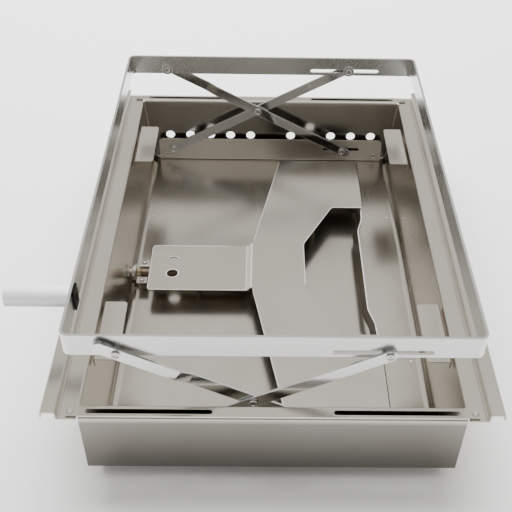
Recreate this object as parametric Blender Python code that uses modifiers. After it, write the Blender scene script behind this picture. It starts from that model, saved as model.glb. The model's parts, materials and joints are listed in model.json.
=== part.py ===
"""Burner assembly: a folded sheet-steel tray with a shielded gas burner in its floor and a pan frame
that rises and falls level on two scissor linkages, one at each end.

Metres, +Z up. The origin is the middle of the tray's underside. +Y points to the rear end,
+X to the right, and the gas inlet and the lifting handle are on the left (-X).
"""
import math

import bmesh
import bpy
from mathutils import Matrix, Vector

MM = 0.001
GAP = 0.35 * MM              # running gap between neighbouring pieces
SHEET = 1.5 * MM             # thickness of the tray's sheet

# Tray
OPENING_X = 400 * MM         # clear opening between the side walls
OPENING_Y = 597 * MM         # clear opening between the end walls
TRAY_DEPTH = 103 * MM        # from the rim down to the floor's upper face
RIM = TRAY_DEPTH + SHEET     # height of the rim above the underside
FLOOR_TOP = SHEET
SIDE_TAPER = 10 * MM         # how far each side wall leans in at the floor
FLOOR_BEND = 10 * MM
BEND = 2.2 * MM              # mid-line radius of the ordinary bends
STEP_BEND = 1.8 * MM
RAIL_LOW = 21 * MM           # width of the rail's lower strip
RAIL_HIGH = 15 * MM          # width of its raised strip
RAIL_STEP = 10 * MM
RAIL_LIP = 8 * MM
RAIL_END = 316 * MM          # half length of the rails
END_FLANGE = 17.5 * MM
FRONT_SKIRT = 82 * MM
REAR_SKIRT = 60 * MM
SLOT_IN, SLOT_OUT, SLOT_WIDTH = 62 * MM, 193 * MM, 6.4 * MM
VENT_RADIUS = 7 * MM
VENT_PITCH = 32.4 * MM
VENT_HEIGHT = RIM - 61 * MM
INLET_WALL_X = -192 * MM     # where the gas inlet passes the left wall
INLET_HOLE = 6.9 * MM        # radius
FLOOR_HOLE_X, FLOOR_HOLE_Y = 176 * MM, 143 * MM
RIVET_HOLE = 2.2 * MM        # radius
EAR_RIVET_X = 208 * MM
EAR_END = 212 * MM

# Pan ledges
LEDGE_LENGTH, LEDGE_REACH = 90 * MM, 30 * MM
LEDGE_Y = 187.5 * MM
LEDGE_TOP = RIM - 4 * MM
LEDGE_LEG = 10 * MM
LEDGE_GAP = 2.4 * MM         # between a ledge's leg and the side wall

# Lift frame and scissor linkage
FRAME_X, FRAME_Y = 424.5 * MM, 565.6 * MM
BAND_HEIGHT, BAND = 28 * MM, 3 * MM
FRAME_TOP = RIM + 88 * MM
PIN_LEFT, PIN_RIGHT = -157 * MM, 115.3 * MM
PIN_LOW, PIN_HIGH = RIM - 80 * MM, RIM + 67 * MM
ARM_WIDTH, ARM = 14.5 * MM, 2.5 * MM
ARM_TAIL_HIGH, ARM_TAIL_LOW = 25 * MM, 15 * MM
PIN_RADIUS, PIN_HOLE, PIN_HEAD = 2.5 * MM, 2.95 * MM, 5 * MM
HEAD = 1.7 * MM              # thickness of a pin's head
HEAD_BORE = 4.4 * MM
WASHER_RADIUS, WASHER = 8 * MM, 1.1 * MM
FRAME_SLOT = (58 * MM, 160 * MM)
BRACKET_SLOT = (85 * MM, 144 * MM)
ARM_ANGLE = math.atan2(PIN_HIGH - PIN_LOW, PIN_RIGHT - PIN_LEFT)
ARM_LENGTH = math.hypot(PIN_HIGH - PIN_LOW, PIN_RIGHT - PIN_LEFT)

# Distances from the middle to each layer of the linkage, outwards
BAND_FACE = FRAME_Y / 2
INNER_PLANE = BAND_FACE + GAP
OUTER_PLANE = INNER_PLANE + ARM + GAP
BRACKET_FACE = OUTER_PLANE + ARM + GAP
END_WALL = OPENING_Y / 2
BRACKET_X = 180 * MM
BRACKET_TOP = RIM - 62.5 * MM
STANDOFF_X, STANDOFF_Z = 168 * MM, RIM - 91 * MM
STANDOFF_HOLE = 2.6 * MM     # radius
CRANK_FROM, CRANK_TO = 67 * MM, 82 * MM   # along the cranked arm, from its frame pivot

# Handle
HANDLE_RADIUS, HANDLE_WALL = 11 * MM, 1.6 * MM
HANDLE_LENGTH = 69 * MM
HANDLE_Y, HANDLE_Z = -214 * MM, RIM + 74 * MM
STUD_RADIUS = 3 * MM
BACKING_WIDTH, BACKING_HEIGHT, BACKING = 16 * MM, 26 * MM, 2 * MM

# Burner
SHIELD_TOP = RIM - 73 * MM
BRANCH_TOP = RIM - 78.5 * MM
SHIELD_END = 245             # mm, half length of the chevron
BURNER_BASE, BURNER_HEIGHT, BURNER_WIDTH = RIM - 99 * MM, 14 * MM, 30 * MM
GAS_AXIS = RIM - 89 * MM
BRANCH_LEFT, BRANCH_HALF = -165 * MM, 44.5 * MM
PEEP_X, PEEP_Y, PEEP_RADIUS = -133.7 * MM, -13 * MM, 7.5 * MM
STRIP_TOP = RIM - 77.5 * MM

CORNERS = ("front_left", "rear_left", "front_right", "rear_right")

parts = None
cutters = None


# ---------------------------------------------------------------- helpers
def clear_scene():
    for obj in list(bpy.data.objects):
        bpy.data.objects.remove(obj, do_unlink=True)


def new_collection(name):
    collection = bpy.data.collections.new(name)
    bpy.context.scene.collection.children.link(collection)
    return collection


def material(name, colour, roughness, metallic):
    mat = bpy.data.materials.new(name)
    mat.use_nodes = True
    shader = mat.node_tree.nodes["Principled BSDF"]
    shader.inputs["Base Color"].default_value = (*colour, 1)
    shader.inputs["Roughness"].default_value = roughness
    shader.inputs["Metallic"].default_value = metallic
    return mat


def link(name, mesh, mat, matrix=None):
    obj = bpy.data.objects.new(name, mesh)
    parts.objects.link(obj)
    mesh.materials.clear()
    mesh.materials.append(mat)
    mesh.shade_smooth()
    mesh.set_sharp_from_angle(angle=math.radians(35))
    if matrix:
        obj.matrix_world = matrix
    return obj


def rounded(points, radii, steps=4, closed=False):
    """The polyline through points with an arc of the given radius at each corner."""
    if not isinstance(radii, (list, tuple)):
        radii = [radii] * len(points)
    result = []
    last = len(points) - 1
    for i, point in enumerate(points):
        corner = Vector(point)
        if radii[i] == 0 or (not closed and i in (0, last)):
            result.append(corner)
            continue
        to_prev = (Vector(points[i - 1]) - corner).normalized()
        to_next = (Vector(points[(i + 1) % len(points)]) - corner).normalized()
        half = to_prev.angle(to_next) / 2
        centre = corner + (to_prev + to_next).normalized() * radii[i] / math.sin(half)
        start = corner + to_prev * radii[i] / math.tan(half) - centre
        end = corner + to_next * radii[i] / math.tan(half) - centre
        for k in range(steps + 1):
            swing = start.lerp(end, k / steps)
            result.append(centre + swing.normalized() * radii[i])
    return result


def circle(x, y, radius, count=16):
    turn = 2 * math.pi / count
    return [Vector((x + radius * math.cos(turn * i), y + radius * math.sin(turn * i)))
            for i in range(count)]


def slot(x_from, x_to, y, width, steps=8):
    """A round-ended slot outline along x."""
    radius = width / 2
    half_turn = [math.pi * i / steps - math.pi / 2 for i in range(steps + 1)]
    right = [Vector((x_to - radius + radius * math.cos(a), y + radius * math.sin(a))) for a in half_turn]
    left = [Vector((x_from + radius - radius * math.cos(a), y - radius * math.sin(a))) for a in half_turn]
    return right + left


def plate_mesh(name, loops, thickness):
    """Flat plate from an outline and its holes, centred on its own XY plane."""
    curve = bpy.data.curves.new(name, "CURVE")
    curve.dimensions = "2D"
    curve.fill_mode = "BOTH"
    curve.extrude = thickness / 2
    for loop in loops:
        spline = curve.splines.new("POLY")
        spline.points.add(len(loop) - 1)
        for point, place in zip(spline.points, loop):
            point.co = (place.x, place.y, 0, 1)
        spline.use_cyclic_u = True
    flat = bpy.data.objects.new(name, curve)
    parts.objects.link(flat)
    mesh = bpy.data.meshes.new_from_object(flat.evaluated_get(bpy.context.evaluated_depsgraph_get()))
    bpy.data.objects.remove(flat, do_unlink=True)
    shape = bmesh.new()
    shape.from_mesh(mesh)
    bmesh.ops.remove_doubles(shape, verts=shape.verts, dist=1e-6)
    bmesh.ops.recalc_face_normals(shape, faces=shape.faces)
    shape.to_mesh(mesh)
    shape.free()
    return mesh


def level_plate(name, loops, thickness, z, mat):
    """Horizontal plate whose outline is in x and y, with its mid-plane at z."""
    return link(name, plate_mesh(name, loops, thickness), mat, Matrix.Translation((0, 0, z)))


def upright_plate(name, loops, thickness, y, mat):
    """Plate across the tray whose outline is in x and z, with its mid-plane at y."""
    stand = Matrix.Translation((0, y, 0)) @ Matrix.Rotation(math.pi / 2, 4, "X")
    return link(name, plate_mesh(name, loops, thickness), mat, stand)


def folded_sheet(name, path, span, thickness, mat, along="Y"):
    """A sheet bent along path and run straight from span[0] to span[1]."""
    place = {"Y": lambda p, s: (p[0], s, p[1]), "X": lambda p, s: (s, p[0], p[1]),
             "Z": lambda p, s: (p[0], p[1], s)}[along]
    shape = bmesh.new()
    edges = []
    row = [shape.verts.new(place(p, span[0])) for p in path]
    for a, b in zip(row, row[1:]):
        edges.append(shape.edges.new((a, b)))
    swept = bmesh.ops.extrude_edge_only(shape, edges=edges)["geom"]
    moved = [v for v in swept if isinstance(v, bmesh.types.BMVert)]
    bmesh.ops.translate(shape, verts=moved, vec=Vector(place((0, 0), span[1] - span[0])))
    mesh = bpy.data.meshes.new(name)
    shape.to_mesh(mesh)
    shape.free()
    obj = link(name, mesh, mat)
    thicken(obj, thickness)
    return obj


def thicken(obj, thickness):
    solid = obj.modifiers.new("thickness", "SOLIDIFY")
    solid.thickness = thickness
    solid.offset = 0
    solid.use_even_offset = True


def bake(obj):
    """Replace an object by its evaluated mesh, facing out."""
    mesh = bpy.data.meshes.new_from_object(obj.evaluated_get(bpy.context.evaluated_depsgraph_get()))
    shape = bmesh.new()
    shape.from_mesh(mesh)
    bmesh.ops.recalc_face_normals(shape, faces=shape.faces)
    shape.to_mesh(mesh)
    shape.free()
    obj.modifiers.clear()
    obj.data = mesh
    return obj


def combine(obj, other, operation):
    """Boolean with another object, which becomes a hidden guide."""
    for collection in other.users_collection:
        collection.objects.unlink(other)
    cutters.objects.link(other)
    other.hide_render = True
    other.display_type = "WIRE"
    step = obj.modifiers.new(operation.lower(), "BOOLEAN")
    step.operation = operation
    step.solver = "EXACT"
    step.object = other
    return obj


def box(name, low, high, mat):
    shape = bmesh.new()
    bmesh.ops.create_cube(shape, size=1)
    size = Vector(high) - Vector(low)
    bmesh.ops.scale(shape, verts=shape.verts, vec=size)
    bmesh.ops.translate(shape, verts=shape.verts, vec=(Vector(high) + Vector(low)) / 2)
    mesh = bpy.data.meshes.new(name)
    shape.to_mesh(mesh)
    shape.free()
    return link(name, mesh, mat)


def turned_mesh(name, profile, steps=16):
    """Solid of revolution about Z from (radius, height) points running down the outside."""
    shape = bmesh.new()
    row = [shape.verts.new((r, 0, z)) for r, z in profile]
    for a, b in zip(row, row[1:]):
        shape.edges.new((a, b))
    if profile[0][0] > 0:
        shape.edges.new((row[-1], row[0]))
    mesh = bpy.data.meshes.new(name)
    shape.to_mesh(mesh)
    shape.free()
    spun = bpy.data.objects.new(name, mesh)
    parts.objects.link(spun)
    screw = spun.modifiers.new("turn", "SCREW")
    screw.steps = steps
    screw.render_steps = steps
    screw.use_merge_vertices = True
    screw.merge_threshold = 0.00001
    bake(spun)
    mesh = spun.data
    bpy.data.objects.remove(spun, do_unlink=True)
    return mesh


TURN_TO = {"+Y": Matrix.Rotation(-math.pi / 2, 4, "X"), "-Y": Matrix.Rotation(math.pi / 2, 4, "X"),
           "+X": Matrix.Rotation(math.pi / 2, 4, "Y")}


def turned(name, profile, axis, place, mat, steps=16):
    """Turned piece whose own Z points along axis, with its origin at place."""
    mesh = turned_mesh(name, profile, steps)
    return link(name, mesh, mat, Matrix.Translation(place) @ TURN_TO[axis])


def copies(names, mesh, matrices, mat):
    """The same solid at several places, each copy a piece of its own."""
    for name, matrix in zip(names, matrices):
        link(name, mesh, mat, matrix)


def cutter_group(name, mesh, matrices, mat):
    """One guide that holds the same solid at several places."""
    shape = bmesh.new()
    for matrix in matrices:
        start = len(shape.verts)
        shape.from_mesh(mesh)
        shape.verts.ensure_lookup_table()
        bmesh.ops.transform(shape, matrix=matrix, verts=shape.verts[start:])
    group = bpy.data.meshes.new(name)
    shape.to_mesh(group)
    shape.free()
    return link(name, group, mat)


def stepped_profile(stages):
    """Profile of a stepped pin from (radius, bottom, top) stages given from the bottom up."""
    outside = [(0, stages[-1][2])]
    for radius, bottom, top in reversed(stages):
        outside += [(radius, top), (radius, bottom)]
    return outside + [(0, stages[0][1])]


def hexagon(across_flats):
    corner = across_flats / 2 / math.cos(math.pi / 6)
    return circle(0, 0, corner, 6)


# ---------------------------------------------------------------- tray
def side_path(side):
    """Mid-line of one half of the tray's section, from its lip to the middle of the floor."""
    half = SHEET / 2
    wall = OPENING_X / 2 + half
    step = OPENING_X / 2 + RAIL_LOW + half
    edge = OPENING_X / 2 + RAIL_LOW + RAIL_HIGH + half
    corners = [(edge, RIM + RAIL_STEP - RAIL_LIP), (edge, RIM + RAIL_STEP - half),
               (step, RIM + RAIL_STEP - half), (step, RIM - half), (wall, RIM - half),
               (wall - SIDE_TAPER, FLOOR_TOP - half), (0, FLOOR_TOP - half)]
    bends = [0, BEND, STEP_BEND, STEP_BEND, BEND, FLOOR_BEND, 0]
    path = rounded(corners, bends, 4)
    return [Vector((side * p.x, p.y)) for p in path]


def make_tray(steel):
    path = side_path(-1) + side_path(1)[-2::-1]
    tray = folded_sheet("tray", path, (-RAIL_END, RAIL_END), SHEET, steel)
    for end in (-1, 1):
        y_low, y_high = sorted((end * (END_WALL + SHEET), end * (RAIL_END + 5 * MM)))
        low_x = OPENING_X / 2 + RAIL_LOW - 4 * MM
        body = box("tray_end_cut", (-low_x, y_low, -5 * MM), (low_x, y_high, RIM - SHEET - 0.05 * MM), steel)
        combine(tray, body, "DIFFERENCE")
        mouth_x = OPENING_X / 2 + SHEET
        mouth = box("rail_end_cut", (-mouth_x, y_low, -6 * MM), (mouth_x, y_high, RIM + 3 * MM), steel)
        combine(tray, mouth, "DIFFERENCE")
    floor_hole = turned_mesh("floor_hole", stepped_profile([(RIVET_HOLE, -5 * MM, 8 * MM)]), 12)
    spots = [Matrix.Translation((x * FLOOR_HOLE_X, y * FLOOR_HOLE_Y, 0)) for x in (-1, 1) for y in (-1, 1)]
    drill = cutter_group("floor_hole_cut", floor_hole, spots, steel)
    combine(tray, drill, "DIFFERENCE")
    inlet = turned("inlet_cut", stepped_profile([(INLET_HOLE, -12 * MM, 12 * MM)]), "+X",
                   (INLET_WALL_X, 0, GAS_AXIS), steel)
    combine(tray, inlet, "DIFFERENCE")
    return tray


def make_end_panel(name, end, skirt, steel):
    """End wall, slotted flange, outer skirt and corner ears, as one folded panel."""
    half = SHEET / 2
    flange_mid = RIM + 0.3 * MM + half
    wall = END_WALL + half
    outer = END_WALL + END_FLANGE - half
    fold = rounded([(end * wall, RIM - 6 * MM), (end * wall, flange_mid), (end * outer, flange_mid),
                    (end * outer, RIM - skirt)], BEND, 4)
    reach = OPENING_X / 2 - 1 * MM
    panel = folded_sheet(name, fold, (-reach, reach), SHEET, steel, along="X")
    top_x = OPENING_X / 2 - 0.8 * MM
    low_x = top_x - SIDE_TAPER
    bottom = FLOOR_TOP + 0.4 * MM
    outline = rounded([(-top_x, RIM - 4 * MM), (-low_x, bottom), (low_x, bottom), (top_x, RIM - 4 * MM)],
                      [0, 9.8 * MM, 9.8 * MM, 0], 5, closed=True)
    vents = [circle(VENT_PITCH * k, VENT_HEIGHT, VENT_RADIUS, 20) for k in range(-5, 6) if k]
    rivets = [circle(x * STANDOFF_X, STANDOFF_Z, STANDOFF_HOLE, 12) for x in (-1, 1)]
    inner = upright_plate(name + "_wall", [outline] + vents + rivets, SHEET, end * wall, steel)
    combine(panel, inner, "UNION")
    for side in (-1, 1):
        x_low, x_high = sorted((side * (reach - 2 * MM), side * EAR_END))
        y_low, y_high = sorted((end * (END_WALL + 3.5 * MM), end * (END_WALL + END_FLANGE - 2.6 * MM)))
        ear = box(name + "_ear", (x_low, y_low, flange_mid - half), (x_high, y_high, flange_mid + half), steel)
        combine(panel, ear, "UNION")
    y_slot = end * (END_WALL + END_FLANGE / 2)
    for side in (-1, 1):
        ends = sorted((side * SLOT_IN, side * SLOT_OUT))
        cut = level_plate(name + "_slot_cut", [slot(*ends, y_slot, SLOT_WIDTH)], 8 * MM, flange_mid, steel)
        combine(panel, cut, "DIFFERENCE")
    hole = turned_mesh("ear_hole", stepped_profile([(RIVET_HOLE, -4 * MM, 4 * MM)]), 12)
    spots = [Matrix.Translation((x * EAR_RIVET_X, y_slot, flange_mid)) for x in (-1, 1)]
    combine(panel, cutter_group(name + "_hole_cut", hole, spots, steel), "DIFFERENCE")
    return panel


def make_corner_rivets(tray, rivet_steel, steel):
    """Four rivets that hold the end panels' ears to the rails."""
    y = END_WALL + END_FLANGE / 2
    spots = [Matrix.Translation((x * EAR_RIVET_X, e * y, RIM)) for x in (-1, 1) for e in (-1, 1)]
    hole = turned_mesh("rail_hole", stepped_profile([(RIVET_HOLE, -4 * MM, 3 * MM)]), 12)
    combine(tray, cutter_group("rail_hole_cut", hole, spots, steel), "DIFFERENCE")
    stages = [(3.2 * MM, -3.2 * MM, -SHEET - GAP), (1.8 * MM, -SHEET - GAP, 1.8 * MM + GAP),
              (3.6 * MM, 1.8 * MM + GAP, 3.2 * MM), (2.4 * MM, 3.2 * MM, 3.8 * MM)]
    names = [place + "_corner_rivet" for place in CORNERS]
    copies(names, turned_mesh("corner_rivet", stepped_profile(stages), 12), spots, rivet_steel)


def make_ledge(name, side, end, steel):
    """Small angle fixed inside the side wall, for a pan or tray to rest on."""
    half = SHEET / 2
    root = OPENING_X / 2 - LEDGE_GAP - half
    tip = OPENING_X / 2 - LEDGE_REACH
    y_mid = end * LEDGE_Y
    lean = LEDGE_LEG * SIDE_TAPER / TRAY_DEPTH
    fold = rounded([(side * tip, LEDGE_TOP - half), (side * root, LEDGE_TOP - half),
                    (side * (root - lean), LEDGE_TOP - half - LEDGE_LEG)], BEND, 4)
    ledge = folded_sheet(name, fold, (y_mid - LEDGE_LENGTH / 2, y_mid + LEDGE_LENGTH / 2), SHEET, steel)
    back = root + 3 * MM
    corners = [(side * tip, y_mid - LEDGE_LENGTH / 2), (side * back, y_mid - LEDGE_LENGTH / 2),
               (side * back, y_mid + LEDGE_LENGTH / 2), (side * tip, y_mid + LEDGE_LENGTH / 2)]
    grown = [(x - side * 0.01 * MM, y) for x, y in corners]
    keep = level_plate(name + "_keep", [rounded(grown, [4 * MM, 0, 0, 4 * MM], 4, closed=True)], 30 * MM,
                       LEDGE_TOP - 5 * MM, steel)
    return combine(ledge, keep, "INTERSECT")


# ---------------------------------------------------------------- linkage
def make_bracket(name, end, steel):
    """Angle bracket across the end of the tray that carries the lower scissor pins."""
    half = SHEET / 2
    face = BRACKET_FACE + half
    foot = FLOOR_TOP + 0.4 * MM + half
    fold = rounded([(end * face, BRACKET_TOP), (end * face, foot), (end * (END_WALL - 0.6 * MM), foot)],
                   BEND, 4)
    bracket = folded_sheet(name, fold, (-BRACKET_X, BRACKET_X), SHEET, steel, along="X")
    outline = rounded([(-BRACKET_X, -2 * MM), (-BRACKET_X, BRACKET_TOP), (BRACKET_X, BRACKET_TOP),
                       (BRACKET_X, -2 * MM)], [0, 7 * MM, 7 * MM, 0], 5, closed=True)
    keep = upright_plate(name + "_keep", [outline], 30 * MM, end * face, steel)
    combine(bracket, keep, "INTERSECT")
    holes = [slot(*BRACKET_SLOT, PIN_LOW, 2 * PIN_HOLE)]
    holes.append(circle(PIN_LEFT, PIN_LOW, PIN_HOLE))
    holes += [circle(x * STANDOFF_X, STANDOFF_Z, STANDOFF_HOLE, 12) for x in (-1, 1)]
    for hole in holes:
        cut = upright_plate(name + "_cut", [hole], 4 * MM, end * face, steel)
        combine(bracket, cut, "DIFFERENCE")
    return bracket


def end_axis(end):
    return "+Y" if end > 0 else "-Y"


def make_standoff_rivets(rivet_steel):
    """Sleeved rivets that hold the brackets a little way off the end walls."""
    wall_out = END_WALL + SHEET
    bracket_out = BRACKET_FACE + SHEET
    stages = [(4 * MM, BRACKET_FACE - GAP - HEAD, BRACKET_FACE - GAP),
              (2.2 * MM, BRACKET_FACE - GAP, bracket_out + GAP),
              (4.2 * MM, bracket_out + GAP, END_WALL - GAP), (2.2 * MM, END_WALL - GAP, wall_out + GAP),
              (4 * MM, wall_out + GAP, wall_out + GAP + HEAD)]
    mesh = turned_mesh("standoff_rivet", stepped_profile(stages), 12)
    spots = [Matrix.Translation((x * STANDOFF_X, 0, STANDOFF_Z)) @ TURN_TO[end_axis(e)]
             for x in (-1, 1) for e in (-1, 1)]
    copies([place + "_standoff_rivet" for place in CORNERS], mesh, spots, rivet_steel)


def make_lift_frame(steel):
    """Flat-bar ring that carries the pan, slotted for the upper sliding pins."""
    def ring(inset, radius):
        x, y = FRAME_X / 2 - inset, FRAME_Y / 2 - inset
        return rounded([(-x, -y), (x, -y), (x, y), (-x, y)], radius, 6, closed=True)
    frame = level_plate("lift_frame", [ring(0, 9 * MM), ring(BAND, 6 * MM)], BAND_HEIGHT,
                        FRAME_TOP - BAND_HEIGHT / 2, steel)
    for end in (-1, 1):
        y = end * (FRAME_Y / 2 - BAND / 2)
        for hole in (slot(*FRAME_SLOT, PIN_HIGH, 2 * PIN_HOLE), circle(PIN_LEFT, PIN_HIGH, PIN_HOLE)):
            combine(frame, upright_plate("frame_cut", [hole], 8 * MM, y, steel), "DIFFERENCE")
    bolt = turned("handle_hole_cut", stepped_profile([(STUD_RADIUS + 0.5 * MM, -8 * MM, 8 * MM)]), "+X",
                  (-FRAME_X / 2, HANDLE_Y, HANDLE_Z), steel)
    return combine(frame, bolt, "DIFFERENCE")


def arm_matrix(rise, pivot_x, pivot_z):
    """Stands a part drawn along X in the XZ plane at the arm's angle, about its own pivot."""
    return Matrix.Translation((pivot_x, 0, pivot_z)) @ Matrix.Rotation(-rise, 4, "Y")


def make_straight_arm(name, end, steel):
    """Arm from the fixed lower pin up to the sliding upper pin, in the outer plane."""
    stadium = slot(-ARM_WIDTH / 2, ARM_LENGTH + ARM_WIDTH / 2, 0, ARM_WIDTH)
    holes = [circle(s * ARM_LENGTH, 0, PIN_HOLE) for s in (0, 0.5, 1)]
    mesh = plate_mesh(name, [stadium] + holes, ARM)
    y = end * (OUTER_PLANE + ARM / 2)
    lay = Matrix.Translation((0, y, 0)) @ Matrix.Rotation(math.pi / 2, 4, "X")
    return link(name, mesh, steel, arm_matrix(ARM_ANGLE, PIN_LEFT, PIN_LOW) @ lay)


def make_joggled_arm(name, end, steel):
    """Arm from the frame's pivot down to the sliding lower pin, cranked from outer to inner plane."""
    inner, outer = INNER_PLANE + ARM / 2, OUTER_PLANE + ARM / 2
    path = [(-ARM_TAIL_HIGH - 5 * MM, end * outer), (CRANK_FROM, end * outer), (CRANK_TO, end * inner),
            (ARM_LENGTH + ARM_TAIL_LOW + 5 * MM, end * inner)]
    tall = ARM_WIDTH
    arm = folded_sheet(name, rounded(path, 8 * MM, 3), (-tall, tall), ARM, steel, along="Z")
    stadium = slot(-ARM_TAIL_HIGH, ARM_LENGTH + ARM_TAIL_LOW, 0, ARM_WIDTH)
    holes = [circle(s * ARM_LENGTH, 0, PIN_HOLE) for s in (0, 0.5, 1)]
    keep = upright_plate(name + "_keep", [stadium] + holes, 40 * MM, end * outer, steel)
    slant = arm_matrix(-ARM_ANGLE, PIN_LEFT, PIN_HIGH)
    keep.matrix_world = slant @ keep.matrix_world
    arm.matrix_world = slant
    return combine(arm, keep, "INTERSECT")


def make_pin(name, end, x, z, stages, rivet_steel):
    return turned(name, stepped_profile(stages), end_axis(end), (x, 0, z), rivet_steel)


def linkage_pins(word, end, rivet_steel):
    band_in = BAND_FACE - BAND
    inner_out = INNER_PLANE + ARM
    outer_out = OUTER_PLANE + ARM
    bracket_out = BRACKET_FACE + SHEET
    tail = (PIN_HEAD, bracket_out + GAP, bracket_out + GAP + HEAD)
    fixed = [(PIN_HEAD, OUTER_PLANE - GAP - HEAD, OUTER_PLANE - GAP),
             (PIN_RADIUS, OUTER_PLANE - GAP, bracket_out + GAP), tail]
    lower = [(PIN_HEAD, INNER_PLANE - GAP - HEAD, INNER_PLANE - GAP),
             (PIN_RADIUS, INNER_PLANE - GAP, inner_out + GAP), (PIN_HEAD, inner_out + GAP, outer_out),
             (PIN_RADIUS, outer_out, bracket_out + GAP), tail]
    centre = [(PIN_HEAD, INNER_PLANE - GAP - HEAD, INNER_PLANE - GAP),
              (PIN_RADIUS, INNER_PLANE - GAP, outer_out + GAP),
              (PIN_HEAD, outer_out + GAP, outer_out + GAP + HEAD)]
    washer_in = band_in - GAP - WASHER
    upper = [(HEAD_BORE, washer_in - HEAD, washer_in), (WASHER_RADIUS, washer_in, band_in - GAP),
             (PIN_RADIUS, band_in - GAP, BAND_FACE + GAP), (PIN_HEAD, BAND_FACE + GAP, OUTER_PLANE - GAP),
             (PIN_RADIUS, OUTER_PLANE - GAP, outer_out + GAP),
             (PIN_HEAD, outer_out + GAP, outer_out + GAP + HEAD)]
    middle_x, middle_z = (PIN_LEFT + PIN_RIGHT) / 2, (PIN_LOW + PIN_HIGH) / 2
    make_pin(word + "_fixed_pivot_pin", end, PIN_LEFT, PIN_LOW, fixed, rivet_steel)
    make_pin(word + "_lower_slide_pin", end, PIN_RIGHT, PIN_LOW, lower, rivet_steel)
    make_pin(word + "_centre_rivet", end, middle_x, middle_z, centre, rivet_steel)
    make_pin(word + "_upper_slide_pin", end, PIN_RIGHT, PIN_HIGH, upper, rivet_steel)
    make_pin(word + "_lift_pivot_pin", end, PIN_LEFT, PIN_HIGH, upper, rivet_steel)


def make_handle(aluminium, black, rivet_steel):
    start = -FRAME_X / 2 - GAP
    end = start - HANDLE_LENGTH
    bore = HANDLE_RADIUS - HANDLE_WALL
    tube = [(HANDLE_RADIUS, start), (HANDLE_RADIUS, end), (bore, end), (bore, start)]
    turned("handle_tube", tube, "+X", (0, HANDLE_Y, HANDLE_Z), aluminium, 32)
    plug_from, plug_to = start - 22 * MM, start - 1 * MM
    core = STUD_RADIUS + GAP
    plug = [(bore - GAP, plug_to), (bore - GAP, plug_from), (core, plug_from), (core, plug_to)]
    turned("handle_plug", plug, "+X", (0, HANDLE_Y, HANDLE_Z), aluminium, 24)
    inside = -FRAME_X / 2 + BAND + GAP
    stud_hole = circle(0, 0, STUD_RADIUS + GAP)
    outline = rounded([(-BACKING_HEIGHT / 2, -BACKING_WIDTH / 2), (BACKING_HEIGHT / 2, -BACKING_WIDTH / 2),
                       (BACKING_HEIGHT / 2, BACKING_WIDTH / 2), (-BACKING_HEIGHT / 2, BACKING_WIDTH / 2)],
                      1 * MM, 3, closed=True)
    stand = Matrix.Translation((inside + BACKING / 2, HANDLE_Y, HANDLE_Z)) @ TURN_TO["+X"]
    link("handle_backing", plate_mesh("handle_backing", [outline, stud_hole], BACKING), black, stand)
    stud = stepped_profile([(STUD_RADIUS, plug_from - 2 * MM, inside + BACKING + 0.8 * MM)])
    turned("handle_stud", stud, "+X", (0, HANDLE_Y, HANDLE_Z), rivet_steel)


# ---------------------------------------------------------------- burner
def mirrored(points):
    """A right-hand half outline (y > 0) closed by its mirror image."""
    return points + [(x, -y) for x, y in reversed(points)]


def make_shield(steel):
    """Chevron cover plate over the burner, with a lower branch over the gas pipe."""
    half = [(-25, 50), (13.5, SHIELD_END), (136, SHIELD_END), (136, 128), (89.2, 128), (45, 45)]
    outline = mirrored([(x * MM, y * MM) for x, y in half])
    radii = [2, 3, 3, 2, 5, 5]
    loop = rounded(outline, [r * MM for r in radii + radii[::-1]], 4, closed=True)
    body = level_plate("burner_shield", [loop], SHEET, SHIELD_TOP - SHEET / 2, steel)
    low, high = BRANCH_TOP - SHEET / 2, SHIELD_TOP - SHEET / 2
    path = rounded([(BRANCH_LEFT, low), (-33 * MM, low), (-27 * MM, high), (-5 * MM, high)], 3 * MM, 3)
    branch = folded_sheet("shield_branch", path, (-BRANCH_HALF, BRANCH_HALF), SHEET, steel)
    corners = [(BRANCH_LEFT, -BRANCH_HALF), (-4 * MM, -BRANCH_HALF), (-4 * MM, BRANCH_HALF),
               (BRANCH_LEFT, BRANCH_HALF)]
    keep_loop = rounded(corners, [5 * MM, 0, 0, 5 * MM], 4, closed=True)
    peep = circle(PEEP_X, PEEP_Y, PEEP_RADIUS, 24)
    keep = level_plate("shield_keep", [keep_loop, peep], 40 * MM, SHIELD_TOP, steel)
    combine(branch, keep, "INTERSECT")
    bake(branch)
    return combine(body, branch, "UNION")


def make_posts(steel):
    foot = FLOOR_TOP + GAP
    tall = turned_mesh("post", stepped_profile([(3.5 * MM, foot, SHIELD_TOP - SHEET - GAP)]), 12)
    spots = [(x * MM, e * y * MM) for x, y in ((63, 118), (30, 225)) for e in (-1, 1)]
    names = ["front_inner_post", "rear_inner_post", "front_outer_post", "rear_outer_post"]
    copies(names, tall, [Matrix.Translation((x, y, 0)) for x, y in spots], steel)
    short = turned_mesh("branch_post", stepped_profile([(3.5 * MM, foot, BRANCH_TOP - SHEET - GAP)]), 12)
    spots = [Matrix.Translation((-100 * MM, y * MM, 0)) for y in (-13, 34)]
    copies(["front_branch_post", "rear_branch_post"], short, spots, steel)


def make_burner(iron):
    """Flat burner body: two cross arms joined by a chevron."""
    half = [(134, 187), (52, 187), (12, 38)]
    path = rounded(mirrored([(x * MM, y * MM) for x, y in half]), 20 * MM, 4)
    return folded_sheet("burner_body", path, (BURNER_BASE, BURNER_BASE + BURNER_HEIGHT), BURNER_WIDTH, iron,
                        along="Z")


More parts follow.
